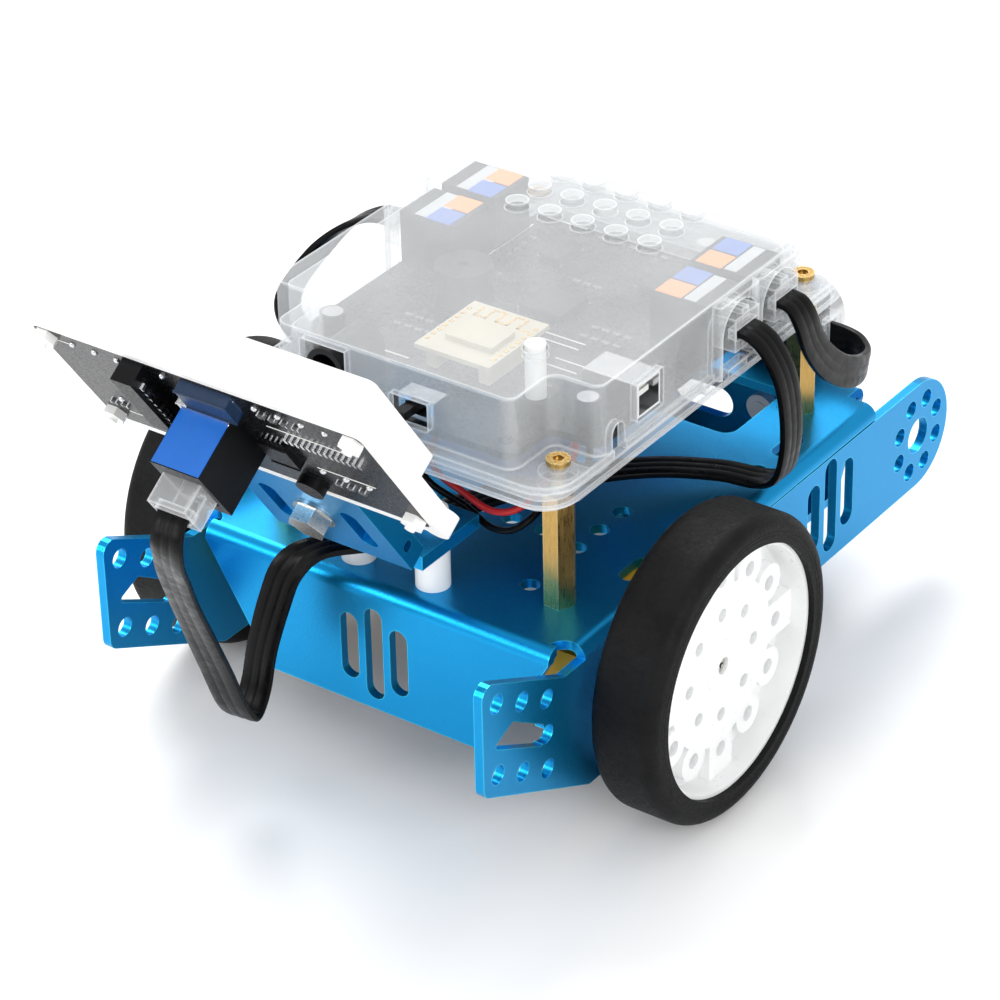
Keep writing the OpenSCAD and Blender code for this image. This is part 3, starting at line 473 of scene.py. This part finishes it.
PANEL = [
    (-0.8, -85.7, 91.2, 1, 0, 0), (-0.8, -88.4, 89.2, 1, 0, 0), (-0.6, -89.8, 85.8, 1, 0, 0),
    (-2.4, -87.6, 80.5, 1, 0, -0.2), (-5.6, -83, 73.5, 0.9, 0.2, -0.3),
    (-9.1, -77, 64, 0.9, 0.2, -0.3), (-12.6, -69.5, 51.8, 0.9, 0.2, -0.2),
    (-15.6, -61.5, 37.5, 1, 0.2, 0), (-17.6, -54.8, 24.5, 1, 0.1, 0.2),
    (-18.4, -50.2, 19.4, 1, 0, 0), (-18.6, -46.4, 23.5, 1, 0, -0.1), (-18, -44.4, 32, 1, 0, -0.1),
    (-16.4, -42, 41.5, 1, 0.1, -0.2), (-14.2, -39.6, 49.2, 0.9, 0, -0.3),
    (-9.6, -35.6, 53.2, 0.8, -0.5, 0), (-3, -29.2, 53.8, 0.85, -0.5, 0),
    (0, -23.5, 53.6, 1, -0.2, 0), (1.5, -14, 52.8, 1, -0.2, 0), (6, 2, 51.6, 0.9, -0.4, 0),
    (14, 17, 50.8, 0.8, -0.6, 0), (24.5, 29.5, 50, 0.7, -0.7, 0),
    (35.5, 37.5, 48.9, 0.4, -0.9, 0), (43.5, 40, 48.4, 0.1, -1, 0), (48.6, 39.8, 51, 0, -1, 0),
    (50.8, 39.2, 57.5, 0, -1, 0), (51.2, 38.8, 65.6, 0, -1, 0), (50.2, 38, 74.5, 0, -1, 0),
    (47.4, 36.8, 81.2, 0, -1, 0), (44.5, 36.1, 83.9, 0, -1, 0), (41.5, 36, 84.4, 0, -1, 0),
]
RANGE = [
    (41.5, 50.5, 84.4, 0, 1, 0), (44.6, 50.7, 83.6, 0, 1, 0), (46.2, 51.8, 80, 0, 1, 0.2),
    (46.4, 54.5, 74, 0, 1, 0.5), (46.2, 59.5, 67.5, 0, 0.8, 0.7), (45.8, 66.5, 61.5, 0, 0.7, 0.9),
    (45, 74.5, 57.2, 0, 0.4, 1), (42.6, 82.5, 54.6, 0.1, 0.1, 1), (38, 88.4, 53.5, 0, 0, 1),
    (33.5, 90.2, 53.3, 0, 0, 1), (29, 90.3, 53.3, 0, 0, 1),
]
LINE = [
    (-41.5, 36, 84.4, 0, 1, 0), (-47.5, 35.6, 84, 0, 1, 0), (-53, 33.2, 81, 0, 1, -0.1),
    (-57.5, 28, 75.5, 0, 0.9, -0.5), (-59, 21, 70, 0, 0.9, -0.6), (-55, 15, 67, 0.3, 1, -0.3),
    (-47, 12.5, 63.5, 0, 1, 0), (-39, 13, 56.5, -0.1, 1, 0), (-31, 17, 51.5, -0.5, 0.9, 0),
    (-22.5, 27, 50.3, -0.8, 0.5, 0), (-17.5, 40, 50.3, -1, 0.3, 0), (-15.8, 52, 50.3, -1, 0.1, 0),
    (-15.5, 62, 48.3, -1, 0, 0), (-15.5, 68, 42, -1, 0, 0), (-15.5, 69.5, 36, -1, 0, 0),
    (-15.5, 69.5, 31, -1, 0, 0),
]
RED = [
    (-4, -0.5, 65), (-3, -7, 64.5), (2, -13, 63.5), (10, -15.3, 62.4), (18.5, -17.2, 61.8),
    (24, -15.5, 63.5), (26, -9, 67), (29.3, -5.3, 71), (29.5, -5, 76.8),
]
BLACK = [
    (-8, -0.5, 65), (-7, -7.5, 62.5), (0, -12.6, 60), (10, -14.2, 58.5), (17.8, -16.6, 57.5),
    (24, -17, 59.5), (27, -12.4, 63), (28.8, -7.6, 67), (32.6, -5.3, 71), (33, -5, 76.8),
]
cord("cord_panel", PANEL, "flat", "black_cable", ["panel_cable"])
cord("cord_range", RANGE, "flat", "black_cable", ["range_cable"])
cord("cord_line", LINE, "flat", "black_cable", ["line_cable"])
cord("lead_red", RED, "wire", "red_wire", ["battery_leads"])
cord("lead_black", BLACK, "wire", "black_cable", ["battery_leads"])

# ---------- board details ----------

# printed squares on the cable sockets: two colours on each, and a white strip beside them
WHITE_X = {-1: (-33.7, -28.5), 1: (31.3, 34.1)}
for side, s in SIDES:
    blues, oranges, whites = [], [], []
    x = (PORT_X - 2.2) * s
    for y in PORT_Y:
        for dy in (-3.1, 3.1):
            square = ((x - 3, y + dy - 2.8, SOCKET_TOP), (x + 3, y + dy + 2.8, SOCKET_TOP + 0.16))
            (blues if dy * s > 0 else oranges).append(square)
        a, b = WHITE_X[s]
        whites.append(((a, y - 5.6, SOCKET_TOP), (b, y + 5.6, SOCKET_TOP + 0.14)))
    boxes(f"print_blue_{side}", blues, "label_blue", slot="black_board")
    boxes(f"print_orange_{side}", oranges, "orange", slot="black_board")
    boxes(f"print_white_{side}", whites, "grey_print", slot="black_board")

# printed frame lines, plain blocks where the lettering is
ink = []
for x0, x1, y0, y1 in (
    (-14, 14, 21.4, 21.8), (-14, 14, 19, 19.4), (-23, -12, -2, -1.6), (-23, -14, -5, -4.6),
    (12, 22, 14, 14.4), (12, 19, 11, 11.4), (-24, -23.6, 40, 58), (20, 20.4, 40, 58),
    (-23, -13, 62, 62.4), (13, 23, 62, 62.4),
):
    ink.append(((x0, y0, TOP), (x1, y1, TOP + 0.06)))
boxes("print_lines", ink, "paper", slot="black_board")

# small surface parts in rows
chips, ends = [], []
rows = [
    (-22, 8, 5, 1), (-22, 12, 5, 1), (12, 24, 4, 1), (12, 28, 4, 1), (-22, 36, 3, 1),
    (-8, 60, 7, 1), (-8, 73, 7, 1), (19, 44, 4, 0), (-20, 44, 4, 0), (12, 4, 3, 1), (-2, 42, 3, 1),
]
for x, y, n, across in rows:
    for k in range(n):
        cx, cy = (x + 2.6 * k, y) if across else (x, y + 2.8 * k)
        chips.append(((cx - 0.5, cy - 0.45, TOP), (cx + 0.5, cy + 0.45, TOP + 0.5)))
        for e in (-0.8, 0.5):
            ends.append(((cx + e, cy - 0.45, TOP), (cx + e + 0.3, cy + 0.45, TOP + 0.52)))
boxes("board_smd", chips, "rubbery_grey", slot="black_plastic")
boxes("board_smd_ends", ends, "bright_steel", slot="bright_steel")

# legs of the chips
legs = []
for x0, x1, y0, y1 in ((-5, 5, 26, 36), (-14, -9, 46, 54), (10, 15, 46, 54)):
    n = int((y1 - y0) / 1.0)
    for k in range(n):
        y = y0 + 0.5 + k
        legs.append(((x0 - 0.9, y - 0.2, TOP), (x0, y + 0.2, TOP + 0.5)))
        legs.append(((x1, y - 0.2, TOP), (x1 + 0.9, y + 0.2, TOP + 0.5)))
for k in range(10):
    x = -4.5 + k
    legs.append(((x - 0.2, 25.1, TOP), (x + 0.2, 26, TOP + 0.5)))
    legs.append(((x - 0.2, 36, TOP), (x + 0.2, 36.9, TOP + 0.5)))
boxes("chip_legs", legs, "bright_steel", slot="bright_steel")

# pins on the wireless module and its screening can with an aerial track
pins, aerial = [], []
for k in range(8):
    y = -1.2 + 2 * k
    for x in (-8.4, 7.6):
        pins.append(((x, y, MODULE_TOP), (x + 0.8, y + 0.9, MODULE_TOP + 0.12)))
for k in range(5):
    x = -6 + 2.6 * k
    aerial.append(((x, 11.5, MODULE_TOP), (x + 0.5, 15.2, MODULE_TOP + 0.08)))
    y = 15.2 if k % 2 else 11.5
    aerial.append(((x, y, MODULE_TOP), (x + 3.1, y + 0.5, MODULE_TOP + 0.08)))
boxes("module_pads", pins, "copper", slot="brass")
boxes("module_aerial", aerial, "copper", slot="brass")

bm = bmesh.new()
for x, y in ((-12, 68.5), (12, 68.5)):
    add_rod(bm, (x, y, TOP + 1.5), 1.9, 0.12)
piece("board_lamps", bm, "lamp", slot="white_plastic")
bm = bmesh.new()
for x in (-30, 31):
    add_rod(bm, (x, -2.5, TOP + 5.4), 2.2, 0.08)
piece("capacitor_tops", bm, "bright_steel", slot="bright_steel")

# contacts in the spare socket, seen through its mouth
boxes(
    "socket_contacts",
    [((-30, 47.6 + 1.05 * k, 80.5), (-26, 48 + 1.05 * k, 80.8)) for k in range(6)], "copper",
    slot="brass")

# tongue inside the USB socket
boxes("usb_tongue", [((28.4, 4.4, 81.6), (36.8, 9.6, 82.8))], "paper", slot="white_plastic")

# ---------- LED panel ----------

bm = bmesh.new()
for i in range(16):
    for j in range(8):
        add_dome(bm, (-30.6 + 4.08 * i, 11.7 + 3.2 * j, 0), 1.25,
                 to=lambda x, y, z: panel_pt(x, y, LED_FACE - z), squash=0.35)
piece("led_dots", bm, "lamp", slot="white_plastic", smooth=True)
boxes(
    "socket_label", [((-6.2, 26.25, 1.7), (4.6, 26.42, 13.3))], "label_blue", to=panel_pt,
    slot="black_plastic")
boxes("socket_foot", [((-6.2, 26.4, 0), (4.6, 28.4, 2.2))], "bright_steel", to=panel_pt, bevel=0.2,
      slot="bright_steel")
boxes(
    "panel_block", [((-3, 29.2, 0), (8, 35, 2.4))], "deep_blue", to=panel_pt, bevel=0.3,
    slot="black_plastic")
boxes(
    "header_joints",
    [((15.2 + 1.27 * k, 23.4, 0), (15.8 + 1.27 * k, 24.8, 0.9)) for k in range(14)],
    "bright_steel", to=panel_pt, slot="bright_steel")
boxes(
    "header_pins",
    [((-11.7, 18 + 1.9 * k, 2.6), (-10.1, 18.9 + 1.9 * k, 3.8)) for k in range(9)],
    "bright_steel", to=panel_pt, slot="bright_steel")
chips, ends = [], []
for x, y, n in ((20, 9, 3), (13, 31, 4), (-32, 10, 2)):
    for k in range(n):
        cx = x + 2.6 * k
        chips.append(((cx - 0.5, y - 0.45, 0), (cx + 0.5, y + 0.45, 0.5)))
        for e in (-0.8, 0.5):
            ends.append(((cx + e, y - 0.45, 0), (cx + e + 0.3, y + 0.45, 0.52)))
boxes("panel_smd", chips, "rubbery_grey", to=panel_pt, slot="black_plastic")
boxes("panel_smd_ends", ends, "bright_steel", to=panel_pt, slot="bright_steel")
boxes(
    "panel_chip", [((7.4, 13, 0), (13.6, 20, 1.5))], "black_plastic", to=panel_pt, bevel=0.2,
    slot="black_plastic")
boxes(
    "panel_chip_legs",
    [((7.8 + 1.1 * k, y, 0), (8.2 + 1.1 * k, y + 0.9, 0.6)) for k in range(5) for y in (12.1, 20)],
    "bright_steel", to=panel_pt, slot="bright_steel")
boxes("panel_print", [((x0, y0, 0), (x1, y0 + 0.35, 0.06)) for x0, x1, y0 in (
    (17, 30, 13.4), (12, 30, 26.4), (-34, -28.5, 33), (-30, -20, 7))],
      "paper", to=panel_pt, slot="white_plastic")
bm = bmesh.new()
for j in (0, 1):
    for i in range(12):
        add_dome(bm, (-29 + 5.2 * i, 12.5 + 21 * j, 0), 0.7, to=panel_pt, n=8, squash=0.8)
piece("panel_solder", bm, "bright_steel", slot="bright_steel", smooth=True)

# ---------- front sensors ----------

bm = bmesh.new()
for x in (-EYE_X, EYE_X):
    add_rod(bm, (x, MESH_Y - 0.5, EYE_Z), 6.55, 0.5, axis="y")
piece("range_mesh_back", bm, "black_plastic", slot="black_plastic")
wires = []
for x in (-EYE_X, EYE_X):
    for k in range(-5, 6):
        d = 1.15 * k
        h = math.sqrt(6.4 ** 2 - d * d)
        wires.append(((x + d - 0.14, MESH_Y, EYE_Z - h), (x + d + 0.14, MESH_Y + 0.2, EYE_Z + h)))
        across = ((x - h, MESH_Y + 0.2, EYE_Z + d - 0.14), (x + h, MESH_Y + 0.4, EYE_Z + d + 0.14))
        wires.append(across)
boxes("range_mesh", wires, "bright_steel", slot="bright_steel")
boxes(
    "range_chips", [((-5, 98.1, 42), (5, 99.4, 52)), ((-22, 98.1, 33), (-16, 99.2, 37))],
    "black_plastic", bevel=0.15, slot="black_plastic")
bm = bmesh.new()
for s in (-1, 1):
    for k in (-1, 1):
        add_dome(bm, (15 * s, 73 + 2.4 * k, 0), 1.4, squash=0.8,
                 to=lambda x, y, z: pt(x, y, LENS_Z - z))
piece("line_lenses", bm, "lamp", slot="white_plastic", smooth=True)

# ---------- fine ridges on the tyres, tape round the battery ----------

RIDGE_STEPS = 72
TURNS = [2 * math.pi * k / RIDGE_STEPS for k in range(RIDGE_STEPS)]
for side, s in SIDES:
    bm = bmesh.new()
    for q in (28.6, 27.8):
        rings = []
        for a, b in ((q - 0.16, 64.7), (q, 65.05), (q + 0.16, 64.7)):
            rings.append([
                bm.verts.new(pt(s * b, a * math.cos(turn), AXLE_Z + a * math.sin(turn)))
                for turn in TURNS
            ])
        for u, v in zip(rings, rings[1:]):
            for k in range(RIDGE_STEPS):
                m = (k + 1) % RIDGE_STEPS
                bm.faces.new((u[k], u[m], v[m], v[k]))
    piece(f"tyre_lines_{side}", bm, "tyre", body=f"wheel_{side}", slot="tyre", smooth=True)

boxes(
    "battery_tape",
    [((-17.15, 12, 59.9), (17.15, 20, 70.4)), ((-17.15, 36, 59.9), (17.15, 44, 70.4))],
    "black_plastic", bevel=0.6, slot="black_plastic")

# ---------- studio ----------

bm = bmesh.new()
bmesh.ops.create_grid(bm, x_segments=1, y_segments=1, size=4)
me = bpy.data.meshes.new("floor")
bm.to_mesh(me)
bm.free()
floor = bpy.data.objects.new("floor", me)
bpy.context.scene.collection.objects.link(floor)
fp = surface("floor_paint", (0.93, 0.93, 0.93), 0.42, vary=0.01, scale=3, grain=60, bump=0.01)
me.materials.append(fp.mat)

world = bpy.data.worlds.new("studio")
bpy.context.scene.world = world
world.use_nodes = True
world.node_tree.nodes["Background"].inputs[0].default_value = (1, 1, 1, 1)
world.node_tree.nodes["Background"].inputs[1].default_value = 0.85


def lamp(name, at, aim, size, power):
    """A rectangular soft light at a place, turned to a point."""
    data = bpy.data.lights.new(name, "AREA")
    data.shape = "RECTANGLE"
    data.size, data.size_y = size
    data.energy = power
    ob = bpy.data.objects.new(name, data)
    bpy.context.scene.collection.objects.link(ob)
    ob.location = at
    ob.rotation_mode = "QUATERNION"
    ob.rotation_quaternion = (Vector(aim) - Vector(at)).to_track_quat("-Z", "Y")


lamp("key", (-0.5, 0.5, 0.9), (0, 0, 0.05), (0.7, 0.5), 9)
lamp("fill", (0.9, -0.5, 0.6), (0, 0, 0.05), (0.6, 0.6), 5)
lamp("rear", (-0.5, -0.8, 0.5), (0, 0, 0.06), (0.4, 0.4), 3)
bpy.context.scene.view_settings.view_transform = "Standard"
bpy.context.scene.view_settings.look = "None"
